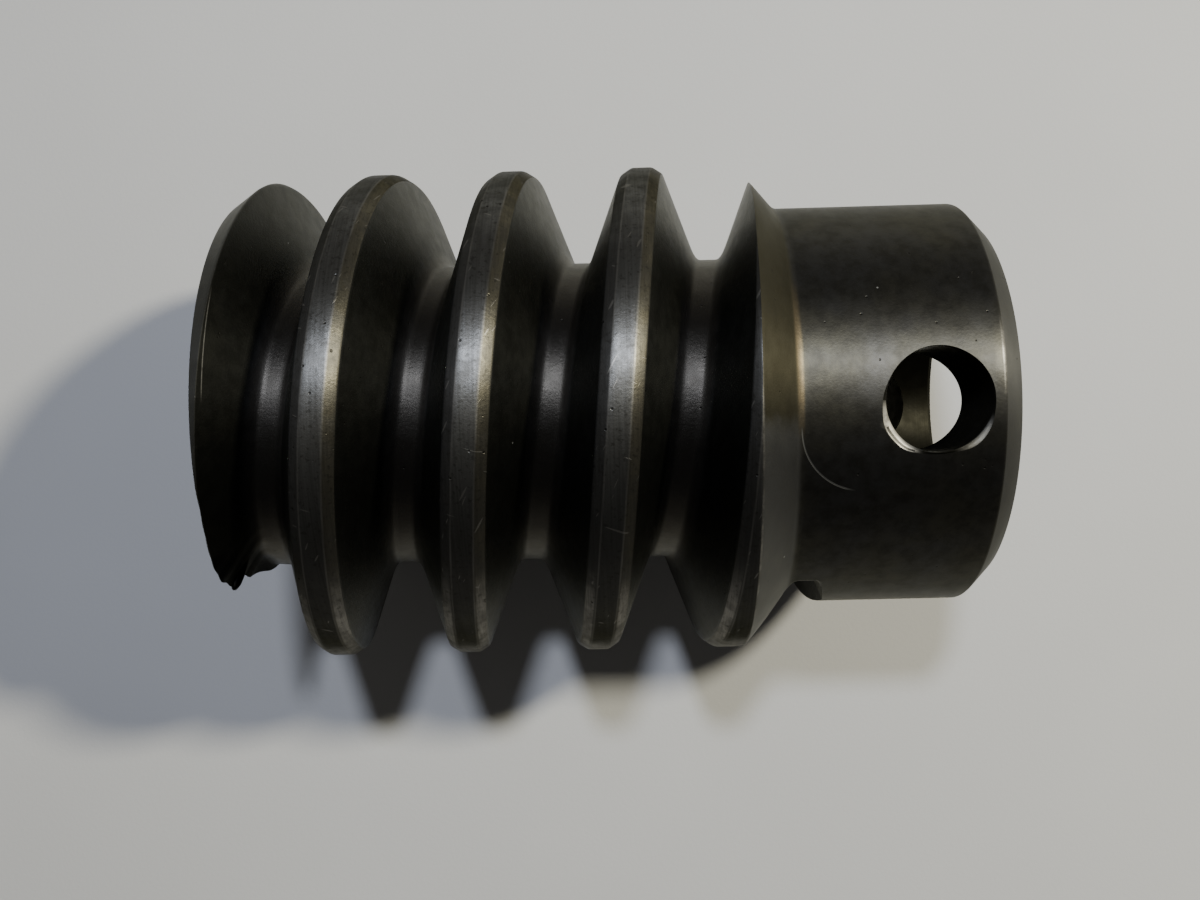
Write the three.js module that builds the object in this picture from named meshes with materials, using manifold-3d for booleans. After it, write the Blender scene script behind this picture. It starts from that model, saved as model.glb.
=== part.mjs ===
// Left-hand single-start worm with a plain hub, bored for a shaft and cross-drilled for a drive pin.
// It is one machined piece, so the group holds one mesh.
//
// Millimetres. The axis of the worm is X and the hub end is +X. The origin is on the axis at
// mid-length. Z is up as the worm lies on its thread crests, and the pin hole points up.

import * as THREE from "three";
import { mergeVertices } from "three/addons/utils/BufferGeometryUtils.js";
import Module from "manifold-3d";

const wasm = await Module();
wasm.setup();

// ---- driving dimensions -------------------------------------------------------------------

// Thread: 12 diametral pitch, pitch diameter ten modules.
const MODULE = 25.4 / 12;
const PRESSURE_ANGLE = THREE.MathUtils.degToRad(20);
const PITCH_DIAMETER = 10 * MODULE;
const OUTSIDE_DIAMETER = PITCH_DIAMETER + 2 * MODULE;
const ROOT_DIAMETER = 15.8;
const ROOT_FILLET = 0.5;
const CREST_BEVEL_DEPTH = 0.32;
const CREST_BEVEL_WIDTH = 0.5;
const CREST_AT_TOP = 0.36; // X of a crest's middle, straight above the axis

// Blank.
const OVERALL_LENGTH = 37.3;
const HUB_DIAMETER = 20.87;
const HUB_LENGTH = 10.23;
const SHOULDER_LENGTH = 2.0;
const SHOULDER_FILLET = 0.3;
const HUB_END_CHAMFER = 1.1;
const THREAD_END_CHAMFER = 1.75; // length of the shallow chamfer at the free end
const THREAD_END_DROP = 1.18; // and its depth

// Bore and cross hole.
const BORE_DIAMETER = 11.11;
const BORE_MOUTH_CHAMFER = 0.2;
const PIN_HOLE_DIAMETER = 4.76;
const PIN_HOLE_FROM_END = 4.0;
const PIN_HOLE_DEBURR = 0.2;

// Where the thread groove lifts out of the hub, as angles from straight up towards -Y.
const RUNOUT_FULL_DEPTH = THREE.MathUtils.degToRad(75);
const RUNOUT_END = THREE.MathUtils.degToRad(56);

// Fineness.
const FACETS_PER_TURN = 48;
const HOLE_FACETS = 32;

// ---- sizes that follow --------------------------------------------------------------------

const PITCH = Math.PI * MODULE; // axial pitch, and the lead of a single start
const OUTSIDE_RADIUS = OUTSIDE_DIAMETER / 2;
const ROOT_RADIUS = ROOT_DIAMETER / 2;
const HUB_RADIUS = HUB_DIAMETER / 2;
const BORE_RADIUS = BORE_DIAMETER / 2;
const PIN_HOLE_RADIUS = PIN_HOLE_DIAMETER / 2;
const HUB_END = OVERALL_LENGTH / 2;
const THREAD_END = -OVERALL_LENGTH / 2;
const HUB_FOOT = HUB_END - HUB_LENGTH;
const SHOULDER_TOP = HUB_FOOT - SHOULDER_LENGTH;
const STEP = (2 * Math.PI) / FACETS_PER_TURN;
const PAST = 2; // how far a cutter runs past the face that it leaves

// ---- helpers ------------------------------------------------------------------------------

// A closed geometry as a solid that can be cut.
function solid(geometry) {
  const bare = geometry.index ? geometry.toNonIndexed() : geometry.clone();
  bare.deleteAttribute("normal");
  bare.deleteAttribute("uv");
  const merged = mergeVertices(bare, 1e-5);
  return new wasm.Manifold(
    new wasm.Mesh({
      numProp: 3,
      vertProperties: new Float32Array(merged.attributes.position.array),
      triVerts: new Uint32Array(merged.index.array),
    }),
  );
}

// A solid as a geometry that three.js can show.
function geometryOf(body) {
  const mesh = body.getMesh();
  const geometry = new THREE.BufferGeometry();
  geometry.setAttribute("position", new THREE.BufferAttribute(mesh.vertProperties, 3));
  geometry.setIndex(new THREE.BufferAttribute(mesh.triVerts, 1));
  geometry.computeVertexNormals();
  return geometry;
}

// A solid of revolution about X, from an outline of [x, radius] that starts and ends on the axis.
function turned(outline, facets) {
  const points = outline.map(([x, radius]) => new THREE.Vector2(radius, x));
  return new THREE.LatheGeometry(points, facets).rotateZ(-Math.PI / 2);
}

// A point on the worm: x along the axis, and an angle from straight up towards -Y.
function around(x, radius, angle) {
  return [x, -radius * Math.sin(angle), radius * Math.cos(angle)];
}

// ---- the blank ----------------------------------------------------------------------------

function blank() {
  const fillet = SHOULDER_FILLET;
  const slope = (OUTSIDE_RADIUS - HUB_RADIUS) / SHOULDER_LENGTH;
  return turned(
    [
      [THREAD_END, 0],
      [THREAD_END, OUTSIDE_RADIUS - THREAD_END_DROP],
      [THREAD_END + THREAD_END_CHAMFER, OUTSIDE_RADIUS],
      [SHOULDER_TOP, OUTSIDE_RADIUS],
      [HUB_FOOT - fillet, HUB_RADIUS + fillet * slope],
      [HUB_FOOT + fillet, HUB_RADIUS],
      [HUB_END - HUB_END_CHAMFER, HUB_RADIUS],
      [HUB_END, HUB_RADIUS - HUB_END_CHAMFER],
      [HUB_END, 0],
    ],
    FACETS_PER_TURN,
  );
}

function bore() {
  const mouth = BORE_RADIUS + BORE_MOUTH_CHAMFER;
  return turned(
    [
      [THREAD_END - PAST, 0],
      [THREAD_END - PAST, mouth],
      [THREAD_END, mouth],
      [THREAD_END + BORE_MOUTH_CHAMFER, BORE_RADIUS],
      [HUB_END - BORE_MOUTH_CHAMFER, BORE_RADIUS],
      [HUB_END, mouth],
      [HUB_END + PAST, mouth],
      [HUB_END + PAST, 0],
    ],
    FACETS_PER_TURN,
  );
}

// The cross hole, straight down through both walls of the hub, with its rims deburred.
function pinHole() {
  const rim = PIN_HOLE_RADIUS + PIN_HOLE_DEBURR;
  const lip = Math.sqrt(HUB_RADIUS ** 2 - PIN_HOLE_RADIUS ** 2);
  const outline = [
    [0, -HUB_RADIUS - PAST],
    [rim, -HUB_RADIUS - PAST],
    [rim, -lip],
    [PIN_HOLE_RADIUS, -lip + PIN_HOLE_DEBURR],
    [PIN_HOLE_RADIUS, lip - PIN_HOLE_DEBURR],
    [rim, lip],
    [rim, HUB_RADIUS + PAST],
    [0, HUB_RADIUS + PAST],
  ];
  const points = outline.map(([radius, height]) => new THREE.Vector2(radius, height));
  return new THREE.LatheGeometry(points, HOLE_FACETS)
    .rotateX(Math.PI / 2)
    .translate(HUB_END - PIN_HOLE_FROM_END, 0, 0);
}

// ---- the thread groove --------------------------------------------------------------------

// Half of the groove's width at a radius, on its straight flanks.
function grooveHalfWidth(radius) {
  return PITCH / 4 + (radius - PITCH_DIAMETER / 2) * Math.tan(PRESSURE_ANGLE);
}

// The groove's section in an axial plane, as [offset from its middle, radius], left to right
// along the root and back above the crests. Above the flanks it widens to bevel the crests.
function grooveSection() {
  const bevelFoot = OUTSIDE_RADIUS - CREST_BEVEL_DEPTH;
  const top = OUTSIDE_RADIUS + 0.25;
  const flare = ((top - bevelFoot) * CREST_BEVEL_WIDTH) / CREST_BEVEL_DEPTH;
  const right = [
    [grooveHalfWidth(ROOT_RADIUS) - ROOT_FILLET * 0.6, ROOT_RADIUS],
    [grooveHalfWidth(ROOT_RADIUS + ROOT_FILLET * 0.7), ROOT_RADIUS + ROOT_FILLET * 0.7],
    [grooveHalfWidth(bevelFoot), bevelFoot],
    [grooveHalfWidth(bevelFoot) + flare, top],
  ];
  const left = right.map(([offset, radius]) => [-offset, radius]).reverse();
  return [...left, ...right];
}

// X of the groove's middle. The thread is left-hand: it moves towards -X as the angle grows.
function grooveMiddle(angle) {
  return CREST_AT_TOP + 1.5 * PITCH - (PITCH * angle) / (2 * Math.PI);
}

// How far the tool has been drawn out of the work.
function lift(angle) {
  const drawn = (RUNOUT_FULL_DEPTH - angle) / (RUNOUT_FULL_DEPTH - RUNOUT_END);
  return Math.max(0, drawn) * (HUB_RADIUS - ROOT_RADIUS);
}

// The space that the threading tool clears: the section swept along the helix, from past the
// thread's free end to the place in the hub where it is drawn out.
function groove() {
  const section = grooveSection();
  const count = section.length;
  const first = RUNOUT_END - STEP / 2;
  const turns = (grooveMiddle(first) - THREAD_END) / PITCH + 1;
  const angles = [first];
  for (let i = Math.ceil(first / STEP + 0.25); i * STEP < first + turns * 2 * Math.PI; i += 1) {
    angles.push(i * STEP);
  }
  const positions = angles.flatMap((angle) =>
    section.flatMap(([offset, radius]) =>
      around(grooveMiddle(angle) + offset, radius + lift(angle), angle),
    ),
  );
  const index = [];
  for (let i = 0; i + 1 < angles.length; i += 1) {
    for (let j = 0; j < count; j += 1) {
      const near = i * count + j;
      const nearNext = i * count + ((j + 1) % count);
      const far = near + count;
      const farNext = nearNext + count;
      index.push(near, nearNext, farNext, near, farNext, far);
    }
  }
  const caps = THREE.ShapeUtils.triangulateShape(
    section.map(([offset, radius]) => new THREE.Vector2(offset, radius)),
    [],
  );
  const last = (angles.length - 1) * count;
  for (const [a, b, c] of caps) {
    index.push(a, c, b);
    index.push(last + a, last + b, last + c);
  }
  const geometry = new THREE.BufferGeometry();
  geometry.setAttribute("position", new THREE.Float32BufferAttribute(positions, 3));
  geometry.setIndex(index);
  return geometry;
}

// ---- the worm -----------------------------------------------------------------------------

const oiledSteel = new THREE.MeshStandardMaterial({
  color: 0x45453f,
  roughness: 0.42,
  metalness: 1,
});

const worm = new THREE.Mesh(
  geometryOf(
    solid(blank()).subtract(solid(groove())).subtract(solid(bore())).subtract(solid(pinHole())),
  ),
  oiledSteel,
);
worm.name = "worm";

const part = new THREE.Group();
part.add(worm);

export default part;
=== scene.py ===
"""A left-hand worm with a hub, lying on pale paper: its fine surface, its steel, the light and the camera.

The shape is one radius function of the place along the axis and the angle around it, sampled on a grid
whose columns follow the thread's edges and the turned edges of the blank. The cross hole is cut from it.
Angles around the axis go from straight up towards -Y.
"""

import math

import bmesh
import bpy
import numpy as np
from mathutils import Matrix, Vector


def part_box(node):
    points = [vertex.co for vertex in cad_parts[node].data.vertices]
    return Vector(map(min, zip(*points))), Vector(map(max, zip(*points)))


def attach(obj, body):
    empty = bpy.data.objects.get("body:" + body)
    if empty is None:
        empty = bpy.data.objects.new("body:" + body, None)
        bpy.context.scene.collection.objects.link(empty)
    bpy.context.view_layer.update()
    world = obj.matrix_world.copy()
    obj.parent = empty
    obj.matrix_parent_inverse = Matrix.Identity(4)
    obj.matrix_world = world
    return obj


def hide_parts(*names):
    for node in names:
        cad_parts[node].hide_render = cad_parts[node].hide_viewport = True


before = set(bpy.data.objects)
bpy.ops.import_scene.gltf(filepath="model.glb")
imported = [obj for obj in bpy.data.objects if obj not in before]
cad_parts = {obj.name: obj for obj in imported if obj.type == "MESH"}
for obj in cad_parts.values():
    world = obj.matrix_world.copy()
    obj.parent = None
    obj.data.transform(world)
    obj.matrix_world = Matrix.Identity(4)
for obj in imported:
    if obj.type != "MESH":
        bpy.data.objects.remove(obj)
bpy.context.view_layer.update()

MM = 0.001
LOW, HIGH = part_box("worm")

# ---- sizes in millimetres: the same driving dimensions as the CAD part ---------------------

# Thread.
THREAD_END = LOW.x / MM
OUTSIDE_RADIUS = HIGH.z / MM
MODULE = OUTSIDE_RADIUS / 6
PITCH = math.pi * MODULE
PITCH_RADIUS = 5 * MODULE
PRESSURE_ANGLE = math.radians(20)
ROOT_RADIUS = 7.9
CREST_BEVEL_DEPTH = 0.32
CREST_BEVEL_WIDTH = 0.5
CREST_AT_TOP = 0.36  # x of a crest's middle, straight above the axis
THREAD_END_CHAMFER = 1.75  # length of the shallow chamfer at the free end
THREAD_END_DROP = 1.18  # and its depth

# Hub and shoulder.
HUB_END = HIGH.x / MM
HUB_RADIUS = 20.87 / 2
HUB_LENGTH = 10.23
HUB_FOOT = HUB_END - HUB_LENGTH
HUB_END_CHAMFER = 1.1
SHOULDER_LENGTH = 2.0
SHOULDER_TOP = HUB_FOOT - SHOULDER_LENGTH

# Bore and cross hole.
BORE_RADIUS = 11.11 / 2
BORE_MOUTH_CHAMFER = 0.2
PIN_HOLE_RADIUS = 4.76 / 2
PIN_HOLE_FROM_END = 4.0
PIN_HOLE_X = HUB_END - PIN_HOLE_FROM_END

# Where the thread groove lifts out of the hub.
RUNOUT_FULL_DEPTH = math.radians(75)
RUNOUT_END = math.radians(56)

# ---- sizes in millimetres that only this fine model has ------------------------------------

# Softness of the worm's edges, as the width over which two surfaces blend.
EDGE = 0.07
ROOT_FILLET = 0.75
HUB_FILLET = 0.32
EDGE_BREAK = 0.05  # how far the broken edges of the end faces reach

# The cross hole's rims are deburred by hand: the break's greatest width, and the places and
# spreads of its wide stretches, as angles around the hole from +X.
PIN_HOLE_DEBURR = 0.36
WIDE_DEBURR_AT = math.radians(214)
WIDE_DEBURR_SPAN = math.radians(38)
FAR_DEBURR_AT = math.radians(314)
FAR_DEBURR_SPAN = math.radians(26)
FAR_DEBURR_SHARE = 0.55
LEAST_DEBURR_SHARE = 0.1

# The ragged burr where the thread's last flank is cut to a thin edge by the end face: each lump's
# angle in degrees, half width in radians and height. Past them the edge is worn back.
BURR_LUMPS = ((26, 0.07, 0.3), (32, 0.07, 0.6), (38, 0.07, 0.9), (43, 0.05, 0.8), (48, 0.06, 0.8),
              (51.5, 0.04, 0.22), (57, 0.03, -0.12), (62, 0.03, 0.06), (70, 0.2, -0.4))
BURR_LENGTH = 0.7
BURR_FROM = math.radians(26)
BURR_TO = math.radians(58)

# The burr's blunt bead: its place, its reach along and around the worm, and its foot and height.
BEAD_X = THREAD_END + 0.1
BEAD_AT = math.radians(50.4)
BEAD_REACH = 0.4
BEAD_SPAN = 0.038
BEAD_FOOT = 7.6
BEAD_HEIGHT = 3.18
BEAD_TAPER = 0.2  # the lower, the steeper its sides and the flatter its top

# Fineness of the grid.
EVEN_ROWS = 288
RUNOUT_ROWS = 34
BURR_ROWS = 40
BEAD_ROWS = 11
ROWS_BEFORE_RUNOUT = 0.06
ROWS_BESIDE_BEAD = 0.045
BORE_COLUMNS = 14
HOLE_STEPS = 96
MERGE_DISTANCE = 2e-7  # in metres


# ---- shape ---------------------------------------------------------------------------------


def smooth_min(a, b, width):
    """The lower of a and b, rounded where they cross."""
    mix = np.clip(0.5 + 0.5 * (b - a) / width, 0, 1)
    return b + (a - b) * mix - width * mix * (1 - mix)


def smooth_max(a, b, width):
    """The higher of a and b, rounded where they cross."""
    return -smooth_min(-a, -b, width)


def half_width(radius):
    """Half of the groove's width on its straight flanks."""
    return PITCH / 4 + (radius - PITCH_RADIUS) * math.tan(PRESSURE_ANGLE)


BEVEL_FOOT = OUTSIDE_RADIUS - CREST_BEVEL_DEPTH
BEVEL_FOOT_OFFSET = half_width(BEVEL_FOOT)
LAND_OFFSET = BEVEL_FOOT_OFFSET + CREST_BEVEL_WIDTH


def blank_radius(x):
    """The turned bar before it was threaded."""
    free_chamfer = OUTSIDE_RADIUS - THREAD_END_DROP * (1 - (x - THREAD_END) / THREAD_END_CHAMFER)
    slope = (OUTSIDE_RADIUS - HUB_RADIUS) / (HUB_FOOT - SHOULDER_TOP)
    cone = OUTSIDE_RADIUS - (x - SHOULDER_TOP) * slope
    hub_chamfer = HUB_RADIUS - HUB_END_CHAMFER + (HUB_END - x)
    hub = smooth_min(hub_chamfer, np.full_like(x, HUB_RADIUS), EDGE)
    body = smooth_min(free_chamfer, np.full_like(x, OUTSIDE_RADIUS), EDGE)
    return smooth_min(body, smooth_max(cone, hub, HUB_FILLET), EDGE)


def groove_middle(angle):
    """Where the first groove's middle is. The thread is left-hand."""
    return CREST_AT_TOP + 1.5 * PITCH - PITCH * angle / (2 * math.pi)


def groove_radius(x, angle):
    """Floor and walls of the nearest turn of the groove, drawn out of the work at its end."""
    turn = np.round((groove_middle(angle) - x) / PITCH)
    offset = np.abs(x - groove_middle(angle) + turn * PITCH)
    flank = PITCH_RADIUS + (offset - PITCH / 4) / math.tan(PRESSURE_ANGLE)
    bevel = BEVEL_FOOT + (offset - BEVEL_FOOT_OFFSET) * CREST_BEVEL_DEPTH / CREST_BEVEL_WIDTH
    wall = smooth_min(flank, bevel, EDGE)
    floor = smooth_max(wall, np.full_like(wall, ROOT_RADIUS), ROOT_FILLET)
    along = angle + turn * 2 * math.pi
    drawn = (RUNOUT_FULL_DEPTH - along) / (RUNOUT_FULL_DEPTH - RUNOUT_END)
    return floor + np.maximum(drawn, 0) * (HUB_RADIUS - ROOT_RADIUS)


def burr(x, angle):
    """How far the ragged edge stands out of the thread's thin end."""
    height = np.zeros_like(angle)
    for degrees, half, lump in BURR_LUMPS:
        height += lump * np.exp(-(((angle - math.radians(degrees)) / half) ** 2))
    return height * np.exp(-(((x - THREAD_END) / BURR_LENGTH) ** 2))


def bead(x, angle):
    """The blunt bead at the ragged edge's tip, as a steep-sided peg with a round top."""
    inside = 1 - ((x - BEAD_X) / BEAD_REACH) ** 2 - ((angle - BEAD_AT) / BEAD_SPAN) ** 2
    return BEAD_FOOT + BEAD_HEIGHT * np.clip(inside, 0, 1) ** BEAD_TAPER


def outer_radius(x, angle):
    """The finished worm's outside."""
    threaded = smooth_min(blank_radius(x), groove_radius(x, angle), EDGE) + burr(x, angle)
    return smooth_max(threaded, bead(x, angle), 2 * EDGE)


# ---- the grid ------------------------------------------------------------------------------


def row_angles():
    """Even steps around the axis, with finer ones at the groove's run-out, the burr and its bead."""
    even = np.linspace(0, 2 * math.pi, EVEN_ROWS + 1)
    runout = np.linspace(RUNOUT_END - ROWS_BEFORE_RUNOUT, RUNOUT_FULL_DEPTH, RUNOUT_ROWS)
    ragged = np.linspace(BURR_FROM, BURR_TO, BURR_ROWS)
    round_bead = np.linspace(BEAD_AT - ROWS_BESIDE_BEAD, BEAD_AT + ROWS_BESIDE_BEAD, BEAD_ROWS)
    return np.unique(np.round(np.concatenate([even, runout, ragged, round_bead]), 9))


def thread_offsets():
    """Column places across one pitch, from the groove's middle: closest at its fillets and edges."""
    root = [0.0, 0.25, 0.42, 0.55, 0.68, 0.81, 0.94, 1.1]
    flank = list(np.linspace(1.35, BEVEL_FOOT_OFFSET - 0.06, 4))
    bevel = [BEVEL_FOOT_OFFSET, BEVEL_FOOT_OFFSET + 0.07, LAND_OFFSET - 0.2]
    land = [LAND_OFFSET - 0.07, LAND_OFFSET, LAND_OFFSET + 0.08, (LAND_OFFSET + PITCH / 2) / 2 + 0.04]
    side = np.array(root + flank + bevel + land)
    return np.unique(np.concatenate([-side, side, [PITCH / 2]]))


def around_edge(x):
    """Three columns that hold a rounded edge."""
    return [x - EDGE, x, x + EDGE]


def fixed_columns():
    """Column places that stay at one x: the turned features."""
    free_end = list(THREAD_END + np.array([EDGE_BREAK, 0.14, 0.24, 0.34, 0.44, 0.52, 0.6]))
    free_end += around_edge(THREAD_END + THREAD_END_CHAMFER)
    shoulder = around_edge(SHOULDER_TOP) + list(np.linspace(SHOULDER_TOP + 0.2, HUB_FOOT - 0.3, 9))
    foot = list(HUB_FOOT + np.array([-0.2, -0.1, 0, 0.1, 0.22, 0.4]))
    hub = list(np.linspace(HUB_FOOT + 0.9, HUB_END - HUB_END_CHAMFER - 0.5, 14))
    hub_end = around_edge(HUB_END - HUB_END_CHAMFER) + [HUB_END - 0.5, HUB_END - EDGE_BREAK]
    return np.array(free_end + shoulder + foot + hub + hub_end)


THREAD_COLUMNS_END = 13.4  # past the place where the groove leaves the hub
GROOVE_TURNS = np.arange(-2, 7)  # enough to reach past both ends
PROBE_STEP = 0.04


def snap_to_crossings(columns, angle):
    """Moves the nearest column onto each place where the groove leaves the blank."""
    probe = np.arange(columns[0] + 0.2, THREAD_COLUMNS_END, PROBE_STEP)
    gap = groove_radius(probe, angle) - blank_radius(probe)
    for i in np.nonzero(gap[:-1] * gap[1:] < 0)[0]:
        crossing = probe[i] + (probe[i + 1] - probe[i]) * gap[i] / (gap[i] - gap[i + 1])
        columns[np.abs(columns - crossing).argmin()] = crossing
    return np.sort(columns)


def row_columns(angle, offsets, fixed):
    """One row's places along the axis: the fixed ones and those that follow the helix."""
    middles = groove_middle(angle) - PITCH * GROOVE_TURNS
    helical = (middles[:, None] + offsets[None, :]).ravel()
    helical = np.clip(helical, fixed[0], THREAD_COLUMNS_END)
    return snap_to_crossings(np.sort(np.concatenate([fixed, helical])), angle)


def inner_outline():
    """From the hub end's face through the bore to the free end's face, as x and radius."""
    mouth = BORE_RADIUS + BORE_MOUTH_CHAMFER
    hub_face = HUB_RADIUS - HUB_END_CHAMFER
    xs = [HUB_END, HUB_END, HUB_END, HUB_END, HUB_END, HUB_END - BORE_MOUTH_CHAMFER]
    radii = [hub_face - 0.05, hub_face - 0.2, 8.0, mouth + 0.1, mouth, BORE_RADIUS]
    xs += list(np.linspace(HUB_END - 0.5, THREAD_END + 0.5, BORE_COLUMNS))
    radii += [BORE_RADIUS] * BORE_COLUMNS
    xs += [THREAD_END + BORE_MOUTH_CHAMFER, THREAD_END, THREAD_END, THREAD_END]
    radii += [BORE_RADIUS, mouth, mouth + 0.1, 7.3]
    return np.array(xs), np.array(radii)


def inner_grid(rim):
    """Each row's x and radius from the hub end's face to just short of the free end's rim."""
    xs, radii = inner_outline()
    x = np.repeat(np.append(xs, [THREAD_END, THREAD_END])[None, :], len(rim), axis=0)
    bored = np.repeat(radii[None, :], len(rim), axis=0)
    return x, np.concatenate([bored, rim - 3 * EDGE_BREAK, rim - EDGE_BREAK], axis=1)


def on_worm(x, radius, angle):
    """Points in metres."""
    return np.stack([x, -radius * np.sin(angle), radius * np.cos(angle)], axis=-1) * MM


def better_split(x, angle, radius):
    """True for each cell whose other diagonal lies closer to the true surface than its first one."""
    here = (slice(None, -1), slice(None, -1))
    next_column = (slice(None, -1), slice(1, None))
    next_row = (slice(1, None), slice(None, -1))
    opposite = (slice(1, None), slice(1, None))

    def error(p, q):
        middle = outer_radius((x[p] + x[q]) / 2, (angle[p] + angle[q]) / 2)
        return np.abs(middle - (radius[p] + radius[q]) / 2)

    return error(here, opposite) > error(next_column, next_row)


def grid_faces(other_diagonal):
    """Two triangles for each cell of a grid whose rows close on themselves."""
    rows, count = other_diagonal.shape
    faces = []
    for i in range(rows):
        for j in range(count):
            k = (j + 1) % count
            near, near_next = i * count + j, i * count + k
            far, far_next = near + count, near_next + count
            if other_diagonal[i, j]:
                faces += [(near, near_next, far), (near_next, far_next, far)]
            else:
                faces += [(near, near_next, far_next), (near, far_next, far)]
    return faces


def worm_mesh():
    """The whole worm but for its cross hole. Each row of the grid is a closed loop of points."""
    angles = row_angles()
    offsets = thread_offsets()
    fixed = fixed_columns()
    x = np.array([row_columns(a, offsets, fixed) for a in angles])
    angle = np.repeat(angles[:, None], x.shape[1], axis=1)
    radius = outer_radius(x, angle)
    inner_x, inner_radius = inner_grid(radius[:, :1])
    all_x = np.concatenate([x, inner_x], axis=1)
    all_radius = np.concatenate([radius, inner_radius], axis=1)
    points = on_worm(all_x, all_radius, angles[:, None])
    other_diagonal = np.zeros((len(angles) - 1, all_x.shape[1]), bool)
    other_diagonal[:, : x.shape[1] - 1] = better_split(x, angle, radius)
    return clean_mesh("worm_surface", points.reshape(-1, 3), grid_faces(other_diagonal))


def clean_mesh(name, points, faces):
    """A mesh with its doubled points joined and its faces turned outwards."""
    mesh = bpy.data.meshes.new(name)
    mesh.from_pydata(points.tolist(), [], faces)
    bm = bmesh.new()
    bm.from_mesh(mesh)
    bmesh.ops.remove_doubles(bm, verts=bm.verts, dist=MERGE_DISTANCE)
    bmesh.ops.dissolve_degenerate(bm, dist=MERGE_DISTANCE, edges=bm.edges)
    bmesh.ops.recalc_face_normals(bm, faces=bm.faces)
    bm.to_mesh(mesh)
    bm.free()
    return mesh


def new_object(name, data):
    """An object in the scene, for a mesh, a camera or a lamp."""
    item = bpy.data.objects.new(name, data)
    bpy.context.scene.collection.objects.link(item)
    return item


# ---- the cross hole ------------------------------------------------------------------------

# The flare over a rim, from outside inwards: height over the hub and share of the break's width.
RIM_FLARE = ((0.6, 3.4), (0.02, 1.15), (-0.04, 0.92), (-0.09, 0.6), (-0.16, 0.3), (-0.25, 0.1), (-0.38, 0.0))


def deburr_share(turn):
    """The break's width around the hole: wide on one side, less so on another and slight between."""
    share = LEAST_DEBURR_SHARE + np.exp(-(((turn - WIDE_DEBURR_AT) / WIDE_DEBURR_SPAN) ** 2))
    share += FAR_DEBURR_SHARE * np.exp(-(((turn - FAR_DEBURR_AT) / FAR_DEBURR_SPAN) ** 2))
    return share * (1 + 0.07 * np.sin(5 * turn) + 0.05 * np.sin(11 * turn))


def pin_hole_mesh():
    """The space of the cross hole, flared over its deburred rims, which follow the hub's curve."""
    turn = np.linspace(0, 2 * math.pi, HOLE_STEPS, endpoint=False)
    share = deburr_share(turn)
    rings = []
    for side, order in ((1, RIM_FLARE), (-1, RIM_FLARE[::-1])):
        for height, width in order:
            radius = PIN_HOLE_RADIUS + PIN_HOLE_DEBURR * width * share
            y = radius * np.sin(turn)
            z = side * (np.sqrt(HUB_RADIUS**2 - y**2) + height)
            rings.append(np.stack([PIN_HOLE_X + radius * np.cos(turn), y, z], axis=-1))
    points = np.concatenate(rings) * MM
    n = HOLE_STEPS
    faces = [tuple(range(n)), tuple(range(len(points) - n, len(points)))]
    for ring in range(len(rings) - 1):
        for i in range(n):
            j = (i + 1) % n
            faces.append((ring * n + i, ring * n + j, (ring + 1) * n + j, (ring + 1) * n + i))
    return clean_mesh("pin_hole_space", points, faces)


def cut(piece, tool_mesh):
    """Takes the tool's space out of the piece and applies the result."""
    tool = new_object("tool", tool_mesh)
    boolean = piece.modifiers.new("cut", "BOOLEAN")
    boolean.operation = "DIFFERENCE"
    boolean.solver = "MANIFOLD"
    boolean.object = tool
    evaluated = piece.evaluated_get(bpy.context.evaluated_depsgraph_get())
    done = bpy.data.meshes.new_from_object(evaluated)
    piece.modifiers.remove(boolean)
    piece.data = done
    bpy.data.objects.remove(tool)


# ---- which surface each face belongs to ----------------------------------------------------

THREADED, CREST, TURNED, FACED, BORED = range(5)
FACE_EDGE = 0.03
RIM_MARGIN = 0.04
CREST_MARGIN = 0.05
HOLE_STEEPNESS = 0.93


def assign_surfaces(mesh):
    """Gives each face the material slot of its machined surface."""
    count = len(mesh.polygons)
    middle = np.empty(count * 3)
    mesh.polygons.foreach_get("center", middle)
    x, y, z = middle.reshape(-1, 3).T / MM
    normal = np.empty(count * 3)
    mesh.polygons.foreach_get("normal", normal)
    radius = np.hypot(y, z)
    rim = np.hypot(x - PIN_HOLE_X, y) < PIN_HOLE_RADIUS + PIN_HOLE_DEBURR + RIM_MARGIN
    in_hole = rim & (np.abs(normal.reshape(-1, 3)[:, 2]) < HOLE_STEEPNESS)
    end_face = (x > HUB_END - FACE_EDGE) | (x < THREAD_END + FACE_EDGE)
    angle = np.arctan2(-y, z) % (2 * math.pi)
    on_blank = (x > SHOULDER_TOP) & (groove_radius(x, angle) > blank_radius(x))
    on_crest = (radius > BEVEL_FOOT - CREST_MARGIN) & (x > THREAD_END + THREAD_END_CHAMFER)
    surface = np.where(on_crest, CREST, THREADED)
    surface[on_blank] = TURNED
    surface[end_face] = FACED
    surface[in_hole | (radius < BORE_RADIUS + BORE_MOUTH_CHAMFER)] = BORED
    mesh.polygons.foreach_set("material_index", surface)


# ---- material building blocks --------------------------------------------------------------

EDGE_TINT = 0.62
ALONG_AXIS = 0.25


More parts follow.
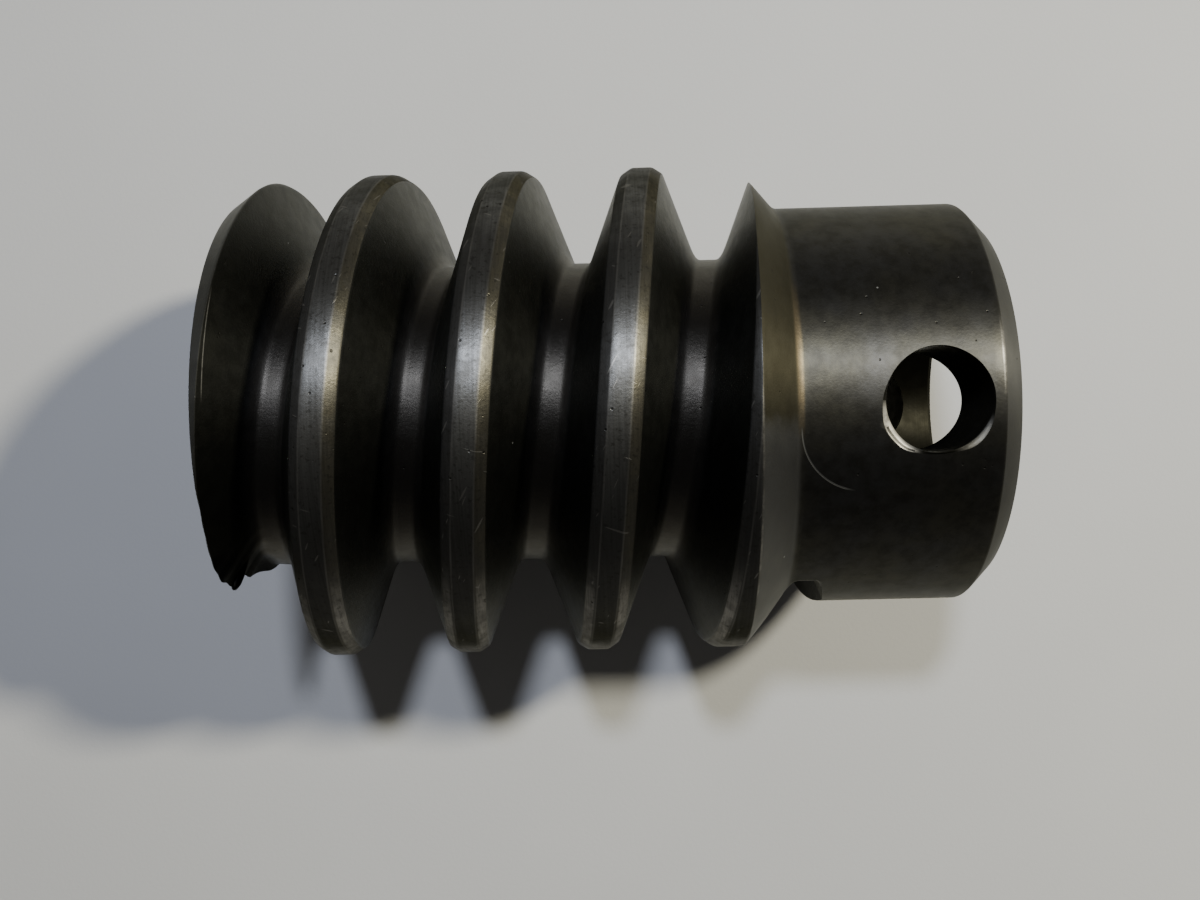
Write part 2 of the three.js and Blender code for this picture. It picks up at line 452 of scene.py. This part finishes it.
class Look:
    """One material under construction, in millimetres. Values may be numbers or node sockets."""

    def __init__(self, name):
        self.material = bpy.data.materials.new(name)
        self.material.use_nodes = True
        self.tree = self.material.node_tree
        self.shader = self.tree.nodes["Principled BSDF"]
        coordinates = self.tree.nodes.new("ShaderNodeTexCoord")
        self.place = self.scaled(coordinates.outputs["Object"], 1 / MM)
        parts = self.tree.nodes.new("ShaderNodeSeparateXYZ")
        self.tree.links.new(self.place, parts.inputs[0])
        self.x, self.y, self.z = parts.outputs
        self.radius = self.length(self.y, self.z)

    def feed(self, socket, value):
        if isinstance(value, bpy.types.NodeSocket):
            self.tree.links.new(value, socket)
        else:
            socket.default_value = value

    def math(self, operation, a, b=0.0):
        node = self.tree.nodes.new("ShaderNodeMath")
        node.operation = operation
        self.feed(node.inputs[0], a)
        self.feed(node.inputs[1], b)
        return node.outputs[0]

    def plus(self, a, b):
        return self.math("ADD", a, b)

    def minus(self, a, b):
        return self.math("SUBTRACT", a, b)

    def times(self, a, b):
        return self.math("MULTIPLY", a, b)

    def length(self, a, b):
        return self.math("SQRT", self.plus(self.times(a, a), self.times(b, b)))

    def scaled(self, vector, scale):
        node = self.tree.nodes.new("ShaderNodeVectorMath")
        node.operation = "MULTIPLY"
        self.feed(node.inputs[0], vector)
        node.inputs[1].default_value = (scale,) * 3 if isinstance(scale, float) else scale
        return node.outputs[0]

    def vector(self, x, y, z):
        node = self.tree.nodes.new("ShaderNodeCombineXYZ")
        for socket, value in zip(node.inputs, (x, y, z)):
            self.feed(socket, value)
        return node.outputs[0]

    def noise(self, vector, scale, detail=2.0, roughness=0.5):
        node = self.tree.nodes.new("ShaderNodeTexNoise")
        self.feed(node.inputs["Vector"], vector)
        node.inputs["Scale"].default_value = scale
        node.inputs["Detail"].default_value = detail
        node.inputs["Roughness"].default_value = roughness
        return node.outputs["Fac"]

    def specks(self, per_mm, size, share):
        """1 on small scattered spots: size is in cells, and share is how many cells hold one."""
        node = self.tree.nodes.new("ShaderNodeTexVoronoi")
        self.feed(node.inputs["Vector"], self.place)
        node.inputs["Scale"].default_value = per_mm
        chance = self.tree.nodes.new("ShaderNodeSeparateColor")
        self.tree.links.new(node.outputs["Color"], chance.inputs[0])
        held = self.math("LESS_THAN", chance.outputs[0], share)
        return self.times(self.ramp(node.outputs["Distance"], size, size * 0.5), held)

    def scratches(self, degrees, per_mm, rarity):
        """1 on short thin lines at an angle to the axis, as seen from above."""
        c, s = math.cos(math.radians(degrees)), math.sin(math.radians(degrees))
        along = self.plus(self.times(self.x, c), self.times(self.y, s))
        across = self.minus(self.times(self.y, c), self.times(self.x, s))
        stretched = self.vector(self.times(along, 0.09), across, self.times(self.z, 0.3))
        return self.ramp(self.noise(stretched, per_mm, 0.0), rarity, rarity + 0.03)

    def ramp(self, value, low, high, start=0.0, end=1.0):
        """Smoothly from start to end while the value goes from low to high."""
        node = self.tree.nodes.new("ShaderNodeMapRange")
        node.interpolation_type = "SMOOTHSTEP"
        self.feed(node.inputs["Value"], value)
        node.inputs["From Min"].default_value = low
        node.inputs["From Max"].default_value = high
        node.inputs["To Min"].default_value = start
        node.inputs["To Max"].default_value = end
        return node.outputs["Result"]

    def band(self, value, middle, half, soft):
        """1 within half of the middle, fading to 0 over the soft width."""
        away = self.math("ABSOLUTE", self.minus(value, middle))
        return self.ramp(away, half + soft, half)

    def mix(self, factor, a, b):
        """Color a, going over to color b as the factor rises to 1."""
        node = self.tree.nodes.new("ShaderNodeMix")
        node.data_type = "RGBA"
        self.feed(node.inputs["Factor"], factor)
        self.feed(node.inputs[6], (*a, 1) if isinstance(a, tuple) else a)
        self.feed(node.inputs[7], (*b, 1) if isinstance(b, tuple) else b)
        return node.outputs[2]

    def bump(self, height, depth, normal=None):
        """Relief of the given depth in millimetres."""
        node = self.tree.nodes.new("ShaderNodeBump")
        node.inputs["Strength"].default_value = 1.0
        node.inputs["Distance"].default_value = depth * MM
        self.feed(node.inputs["Height"], height)
        if normal is not None:
            self.tree.links.new(normal, node.inputs["Normal"])
        return node.outputs[0]

    def finish(self, color, roughness, normal, metallic=0.95, brushed=0.65, edge=EDGE_TINT):
        """Feeds the shader. Fine marks around the axis draw out a brushed surface's highlights."""
        self.feed(self.shader.inputs["Base Color"], color)
        self.feed(self.shader.inputs["Roughness"], roughness)
        self.tree.links.new(normal, self.shader.inputs["Normal"])
        self.shader.inputs["Metallic"].default_value = metallic
        self.shader.inputs["Specular Tint"].default_value = (edge, edge, edge * 0.94, 1)
        self.shader.inputs["Anisotropic"].default_value = brushed
        self.shader.inputs["Anisotropic Rotation"].default_value = ALONG_AXIS
        if brushed:
            around = self.tree.nodes.new("ShaderNodeTangent")
            around.direction_type = "RADIAL"
            around.axis = "X"
            self.tree.links.new(around.outputs[0], self.shader.inputs["Tangent"])
        return self.material


# ---- colors, and what the steels share -----------------------------------------------------

NEUTRAL = (0.052, 0.0515, 0.050)
OLIVE = (0.055, 0.053, 0.043)
# darker steel for mottle, flecks and grain, also used as painted shade on the crests' low side
DARK_STEEL_AND_SHADE = (0.033, 0.032, 0.028)
# lighter steel for worn edges and scratches, also used as painted highlight and painted floor reflection
WORN_AND_SHEEN = (0.26, 0.25, 0.23)
# bare steel, also used as a painted lighter tone on the cone's low side
BARE_AND_SHEEN = (0.125, 0.125, 0.12)
# bare deburred steel, brightened further as a painted highlight
DEBURRED_AND_GLINT = (0.34, 0.328, 0.29)
ROOT_STEEL = (0.064, 0.058, 0.049)
# painted warm reflection on the crests' bevel facing +X
WARM_REFLECTION_TINT = (0.104, 0.097, 0.073)
FLANK = (0.015, 0.0155, 0.013)
# painted warm brown sheen on the cone's upper side
WARM_SHEEN_BROWN = (0.058, 0.053, 0.033)
# painted highlight where the cone meets the hub
CORNER_GLINT = (0.125, 0.102, 0.066)
# the bore and cross hole painted much darker
BORE_DARK = (0.014, 0.0135, 0.009)
PIT = (0.015, 0.014, 0.012)
DUST = (0.5, 0.5, 0.48)
# the burr's low tip painted nearly black
BURR_TIP_BLACK = (0.004, 0.004, 0.0045)
PAPER_DARK = (0.51, 0.51, 0.507)
PAPER_LIGHT = (0.53, 0.53, 0.527)


def oiled_color(look):
    """Dark steel under a thin, uneven film of oil."""
    patch = look.ramp(look.noise(look.place, 0.22, 4, 0.55), 0.36, 0.64)
    mottle = look.ramp(look.noise(look.place, 1.3, 6, 0.65), 0.35, 0.72)
    return look.mix(look.times(mottle, 0.85), look.mix(patch, NEUTRAL, OLIVE), DARK_STEEL_AND_SHADE)


def turning_marks(look, lines_per_mm):
    """Fine lines around the axis."""
    around = look.vector(look.x, look.radius, look.times(look.y, 0.02))
    return look.noise(around, lines_per_mm, 3, 0.6)


def helical_offset(look):
    """Signed distance along the axis from the nearest crest's middle."""
    turn = look.math("ARCTAN2", look.times(look.y, -1.0), look.z)
    turns = look.math("DIVIDE", turn, 2 * math.pi)
    phase = look.plus(look.math("DIVIDE", look.minus(look.x, CREST_AT_TOP), PITCH), turns)
    folded = look.minus(look.math("FRACT", look.plus(phase, 0.5)), 0.5)
    return look.times(folded, PITCH)


# ---- the threaded part ---------------------------------------------------------------------


def over_end_chamfer(look):
    """Height over the free end's chamfer, carried on as a cone over the whole length."""
    rise = look.times(look.minus(look.x, THREAD_END), THREAD_END_DROP / THREAD_END_CHAMFER)
    return look.minus(look.radius, look.plus(rise, OUTSIDE_RADIUS - THREAD_END_DROP))


def free_end_color(look, color):
    """The end chamfer a little barer, a thin painted highlight line on the flank by it, and the burr's low
    tip painted nearly black.
    """
    height = over_end_chamfer(look)
    color = look.mix(look.ramp(height, -0.12, -0.04, 0.0, 0.4), color, BARE_AND_SHEEN)
    # painted highlight: a thin bright line on the flank, only over the height where highlights fall
    highlight_line = look.band(look.minus(height, look.times(look.y, 0.07)), -0.55, 0.015, 0.035)
    highlight_line = look.times(highlight_line, look.band(look.y, 3.3, 1.6, 1.2))
    highlight_line = look.times(highlight_line, look.ramp(look.noise(look.place, 0.8, 4, 0.7), 0.3, 0.6, 0.2, 0.8))
    color = look.mix(highlight_line, color, WORN_AND_SHEEN)
    # the burr's tip low on the worm painted nearly black
    dark_burr_tip = look.times(look.ramp(look.x, THREAD_END + 0.9, THREAD_END + 0.5), look.ramp(look.y, -6.0, -7.0))
    return look.mix(dark_burr_tip, color, BURR_TIP_BLACK)


def threaded_steel():
    """The groove: dark walls, and a root that keeps the cutter's finish."""
    look = Look("threaded_steel")
    wall = look.times(look.ramp(look.radius, 8.3, 8.9), look.ramp(look.radius, OUTSIDE_RADIUS, 12.2))
    color = look.mix(look.times(wall, 0.85), oiled_color(look), FLANK)
    root = look.ramp(look.radius, 8.6, 8.1)
    color = look.mix(look.times(root, 0.8), color, ROOT_STEEL)
    pits = look.specks(3.4, 0.26, 0.04)
    color = look.mix(look.times(pits, 0.8), color, PIT)
    color = look.mix(look.specks(1.1, 0.07, 0.08), color, DUST)
    color = free_end_color(look, color)
    rough = look.ramp(look.noise(look.place, 1.2, 4, 0.6), 0.3, 0.7, 0.42, 0.49)
    cut_lines = look.noise(look.vector(helical_offset(look), look.radius, 0.0), 9.0, 2)
    normal = look.bump(look.noise(look.place, 6.0, 5, 0.75), 0.013)
    normal = look.bump(cut_lines, 0.004, normal)
    normal = look.bump(look.times(pits, -1.0), 0.012, normal)
    return look.finish(color, rough, normal, edge=0.9)


LAND_HALF = PITCH / 2 - LAND_OFFSET


def crest_color(look, offset, away):
    """The crests: a bare land, a painted warm reflection on one bevel and painted shade on the other, painted
    shade low on the side, and a painted floor reflection on the low bevels and lowest lands.
    """
    # painted warm reflection: the bevel facing +X tinted yellow
    color = look.mix(look.ramp(offset, LAND_HALF - 0.05, LAND_HALF + 0.08), BARE_AND_SHEEN, WARM_REFLECTION_TINT)
    # painted shade: the bevel facing -X darker
    color = look.mix(look.ramp(offset, -LAND_HALF + 0.03, -LAND_HALF - 0.08, 0.0, 0.7), color, NEUTRAL)
    # painted shade: lands and bevels darker towards the bottom
    color = look.mix(look.ramp(look.y, -1.5, -7.5, 0.0, 0.72), color, DARK_STEEL_AND_SHADE)
    # painted reflection of the floor: the low bevels and lowest lands lighter towards the bottom
    on_bevel = look.ramp(away, LAND_HALF + 0.02, LAND_HALF + 0.12)
    floor_sheen = look.math("MAXIMUM", on_bevel, look.ramp(look.y, -11.3, -12.1))
    return look.mix(look.times(floor_sheen, look.ramp(look.y, -6.5, -10.5)), color, WORN_AND_SHEEN)


def crest_steel():
    """The crests' lands and bevels: worn nearly bare, stained, and marked by scratches and pits."""
    look = Look("crest_steel")
    offset = helical_offset(look)
    away = look.math("ABSOLUTE", offset)
    color = crest_color(look, offset, away)
    stain = look.ramp(look.noise(look.place, 1.1, 5, 0.65), 0.3, 0.7)
    color = look.mix(look.times(stain, 0.55), color, NEUTRAL)
    flecks = look.ramp(look.noise(look.place, 4.5, 3, 0.6), 0.55, 0.68)
    color = look.mix(look.times(flecks, 0.5), color, DARK_STEEL_AND_SHADE)
    edges = look.band(away, LAND_HALF, 0.015, 0.05)
    color = look.mix(look.times(edges, 0.25), color, WORN_AND_SHEEN)
    grain = look.ramp(turning_marks(look, 11.0), 0.35, 0.7)
    color = look.mix(look.times(grain, 0.35), color, DARK_STEEL_AND_SHADE)
    marks = look.math("MAXIMUM", look.scratches(62, 7.0, 0.79), look.scratches(-20, 6.0, 0.81))
    color = look.mix(look.times(marks, 0.4), color, WORN_AND_SHEEN)
    pits = look.specks(3.4, 0.26, 0.06)
    color = look.mix(look.times(pits, 0.8), color, PIT)
    rough = look.ramp(stain, 0.0, 1.0, 0.38, 0.46)
    normal = look.bump(look.noise(look.place, 7.0, 5, 0.7), 0.007)
    normal = look.bump(look.minus(look.times(marks, 0.2), pits), 0.012, normal)
    return look.finish(color, rough, normal, edge=0.35)


# ---- the turned part -----------------------------------------------------------------------

SCRATCH_CENTRE = (11.3, -1.2)
SCRATCH_RADIUS = 2.85
CHAMFER_EDGE_X = HUB_END - HUB_END_CHAMFER


def hair_scratch(look):
    """1 on a curved hairline scratch on top of the hub, from its foot towards the cross hole."""
    from_centre = look.length(look.minus(look.x, SCRATCH_CENTRE[0]), look.minus(look.y, SCRATCH_CENTRE[1]))
    line = look.band(from_centre, SCRATCH_RADIUS, 0.015, 0.035)
    line = look.times(line, look.ramp(look.y, -1.0, -1.5))
    line = look.times(line, look.ramp(look.x, SCRATCH_CENTRE[0] - 0.3, SCRATCH_CENTRE[0] - 0.9))
    return look.times(line, look.ramp(look.z, 0.0, 1.0))


def shoulder_color(look, color):
    """The cone: a painted lighter grey below and a painted warm brown sheen above, and a painted highlight in
    its corner with the hub.
    """
    cone = look.band(look.x, (SHOULDER_TOP + HUB_FOOT) / 2, 0.8, 0.3)
    # painted light: the cone warm brown above and lighter grey below
    warm_sheen_above = look.ramp(look.plus(look.y, look.noise(look.place, 1.2, 2)), -1.0, 0.2)
    color = look.mix(look.times(cone, 0.75), color, look.mix(warm_sheen_above, BARE_AND_SHEEN, WARM_SHEEN_BROWN))
    # painted highlight along the cone's join with the hub, over the lit height
    corner = look.times(look.band(look.x, HUB_FOOT, 0.07, 0.16), look.band(look.y, 1.9, 1.8, 2.2))
    corner = look.times(corner, look.ramp(look.noise(look.place, 1.6, 4, 0.6), 0.3, 0.6, 0.5, 1.0))
    return look.mix(corner, color, CORNER_GLINT)


def turned_edges_color(look, color):
    """The barer end chamfer, an uneven painted glint on its edge at the lit height, and the shoulder's ridge
    worn unevenly.
    """
    patchy_wear_and_glint = look.ramp(look.noise(look.place, 0.8, 4, 0.7), 0.4, 0.65, 0.15, 1.0)
    end_chamfer = look.ramp(look.x, CHAMFER_EDGE_X, CHAMFER_EDGE_X + 0.1)
    color = look.mix(look.times(end_chamfer, 0.6), color, BARE_AND_SHEEN)
    # painted glint on the chamfer's edge, over the lit height; the ridge's band is wear
    chamfer_edge = look.times(look.band(look.x, CHAMFER_EDGE_X, 0.05, 0.07), look.band(look.y, 2.0, 0.6, 1.6))
    ridge = look.band(look.radius, OUTSIDE_RADIUS - 0.03, 0.05, 0.08)
    edges = look.times(look.plus(chamfer_edge, ridge), patchy_wear_and_glint)
    return look.mix(look.times(edges, 0.55), color, WORN_AND_SHEEN)


def turned_steel():
    """The shoulder's cone and the hub: oiled, with fine turning marks, a long scratch, pits and dust."""
    look = Look("turned_steel")
    color = shoulder_color(look, oiled_color(look))
    color = turned_edges_color(look, color)
    hair = hair_scratch(look)
    color = look.mix(look.times(hair, 0.4), color, DUST)
    pits = look.specks(3.0, 0.2, 0.03)
    color = look.mix(look.times(pits, 0.8), color, PIT)
    color = look.mix(look.specks(0.9, 0.06, 0.03), color, DUST)
    rough = look.ramp(look.noise(look.scaled(look.place, (2.0, 0.8, 0.8)), 1.0, 4), 0.25, 0.75, 0.42, 0.47)
    normal = look.bump(turning_marks(look, 8.0), 0.0018)
    normal = look.bump(look.noise(look.place, 8.0, 4, 0.6), 0.004, normal)
    normal = look.bump(look.times(look.plus(pits, hair), -1.0), 0.01, normal)
    return look.finish(color, rough, normal)


def faced_steel():
    """The flat ends, with the rings that facing left."""
    look = Look("faced_steel")
    rings = look.noise(look.vector(look.radius, 0.0, 0.0), 7.0, 3, 0.6)
    rough = look.ramp(look.noise(look.place, 1.0, 4), 0.3, 0.7, 0.32, 0.44)
    normal = look.bump(look.noise(look.place, 8.0, 3), 0.003, look.bump(rings, 0.008))
    return look.finish(oiled_color(look), rough, normal)


def bright_rim(look):
    """How bright the upper rim's deburred break is: bare steel brightened by a painted highlight, most on its
    wide stretches, and unevenly.
    """
    from_axis = look.minus(look.x, PIN_HOLE_X)
    rim = look.ramp(look.length(from_axis, look.y), PIN_HOLE_RADIUS + 0.01, PIN_HOLE_RADIUS + 0.05)
    rim = look.times(rim, look.ramp(look.radius, HUB_RADIUS - 0.45, HUB_RADIUS - 0.35))
    turn = look.math("ARCTAN2", look.y, from_axis)
    wide = look.band(turn, WIDE_DEBURR_AT - 2 * math.pi, 0.4, 0.3)
    thin = look.times(look.band(turn, FAR_DEBURR_AT - 2 * math.pi, 0.25, 0.3), 0.6)
    # painted highlight: only the upper rim is brightened
    bright = look.times(look.math("MAXIMUM", wide, thin), look.ramp(look.z, 0.0, 1.0))
    bright = look.times(bright, look.ramp(look.noise(look.place, 2.5, 3), 0.35, 0.55, 0.6, 1.0))
    return look.times(rim, bright)


def bored_steel():
    """The bore and the cross hole: painted much darker, but bright where the rim was deburred, partly as a
    painted highlight.
    """
    look = Look("bored_steel")
    # painted much darker inside the bore and hole
    color = look.mix(0.8, oiled_color(look), BORE_DARK)
    color = look.mix(bright_rim(look), color, DEBURRED_AND_GLINT)
    rough = look.ramp(look.noise(look.place, 1.5, 4), 0.3, 0.7, 0.48, 0.58)
    chatter = look.noise(look.place, 6.0, 4, 0.6)
    normal = look.bump(turning_marks(look, 5.0), 0.01, look.bump(chatter, 0.004))
    return look.finish(color, rough, normal)


def paper_look():
    """Plain pale paper, a little uneven."""
    look = Look("paper")
    cloud = look.ramp(look.noise(look.place, 0.05, 3), 0.3, 0.7)
    color = look.mix(cloud, PAPER_DARK, PAPER_LIGHT)
    normal = look.bump(look.noise(look.place, 4.0, 4, 0.6), 0.01)
    return look.finish(color, 0.85, normal, metallic=0.0, brushed=0.0)


# ---- scene ---------------------------------------------------------------------------------

SHARP_FROM = math.radians(38)
PAPER_HALF = 1.5  # in metres

# The camera looks down on the worm from a macro lens's distance, turned a little about each axis.
SENSOR_WIDTH = 36
LENS = 33.222
CLIP_START = 0.002  # in metres
CAMERA_PLACE = (0.307, -2.122, 59.95)
CAMERA_AROUND_WORM = math.radians(-1.23)
CAMERA_YAW = math.radians(1.04)
CAMERA_TWIST = math.radians(-1.43)

# The room's own light is strongest level with the worm and fades upwards.
ROOM_COLOR = (1.0, 0.97, 0.93, 1)
ROOM_LEVEL = 0.3
ROOM_OVERHEAD = 0.045
ROOM_FADE_END = 0.42


def add_worm():
    worm = new_object("worm_steel", worm_mesh())
    cut(worm, pin_hole_mesh())
    worm.data.materials.clear()
    for steel in (threaded_steel(), crest_steel(), turned_steel(), faced_steel(), bored_steel()):
        worm.data.materials.append(steel)
    assign_surfaces(worm.data)
    worm.data.shade_smooth()
    worm.data.set_sharp_from_angle(angle=SHARP_FROM)
    even = worm.modifiers.new("even_shading", "WEIGHTED_NORMAL")
    even.keep_sharp = True
    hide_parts("worm")
    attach(worm, "root")


def add_paper():
    """A sheet under the worm's lowest crests."""
    paper = bpy.data.meshes.new("paper")
    corners = [(-1, -1), (1, -1), (1, 1), (-1, 1)]
    paper.from_pydata([(x * PAPER_HALF, y * PAPER_HALF, LOW.z) for x, y in corners], [], [(0, 1, 2, 3)])
    floor = new_object("paper", paper)
    floor.data.materials.append(paper_look())


def add_camera():
    cam = bpy.data.cameras.new("camera")
    cam.sensor_width = SENSOR_WIDTH
    cam.lens = LENS
    cam.clip_start = CLIP_START
    camera = new_object("camera", cam)
    camera.matrix_world = (
        Matrix.Rotation(CAMERA_AROUND_WORM, 4, "X")
        @ Matrix.Translation(Vector(CAMERA_PLACE) * MM)
        @ Matrix.Rotation(CAMERA_YAW, 4, "Y")
        @ Matrix.Rotation(CAMERA_TWIST, 4, "Z")
    )
    bpy.context.scene.camera = camera


def add_softbox(name, place, width, power, color):
    """A round lamp that faces the worm; its place and width are in millimetres."""
    light = bpy.data.lights.new(name, "AREA")
    light.shape = "DISK"
    light.size = width * MM
    light.energy = power
    light.color = color
    lamp = new_object(name, light)
    lamp.location = Vector(place) * MM
    lamp.rotation_euler = Vector(place).to_track_quat("Z", "Y").to_euler()
    lamp.visible_camera = False


def add_room():
    """Faint warm light from all around."""
    world = bpy.data.worlds.new("room")
    world.use_nodes = True
    nodes = world.node_tree.nodes
    links = world.node_tree.links
    background = nodes["Background"]
    background.inputs["Color"].default_value = ROOM_COLOR
    direction = nodes.new("ShaderNodeTexCoord")
    upward = nodes.new("ShaderNodeSeparateXYZ")
    fade = nodes.new("ShaderNodeMapRange")
    fade.interpolation_type = "SMOOTHSTEP"
    fade.inputs["From Min"].default_value = 0.0
    fade.inputs["From Max"].default_value = ROOM_FADE_END
    fade.inputs["To Min"].default_value = ROOM_LEVEL
    fade.inputs["To Max"].default_value = ROOM_OVERHEAD
    links.new(direction.outputs["Generated"], upward.inputs[0])
    links.new(upward.outputs["Z"], fade.inputs["Value"])
    links.new(fade.outputs["Result"], background.inputs["Strength"])
    bpy.context.scene.world = world


add_worm()
add_paper()
add_camera()
add_softbox("cool_light", place=(-2.6, 62, 147), width=15, power=0.18, color=(0.79, 0.85, 1.0))
add_softbox("warm_light", place=(170, 82, 184), width=24, power=0.87, color=(1.0, 0.95, 0.77))
add_room()
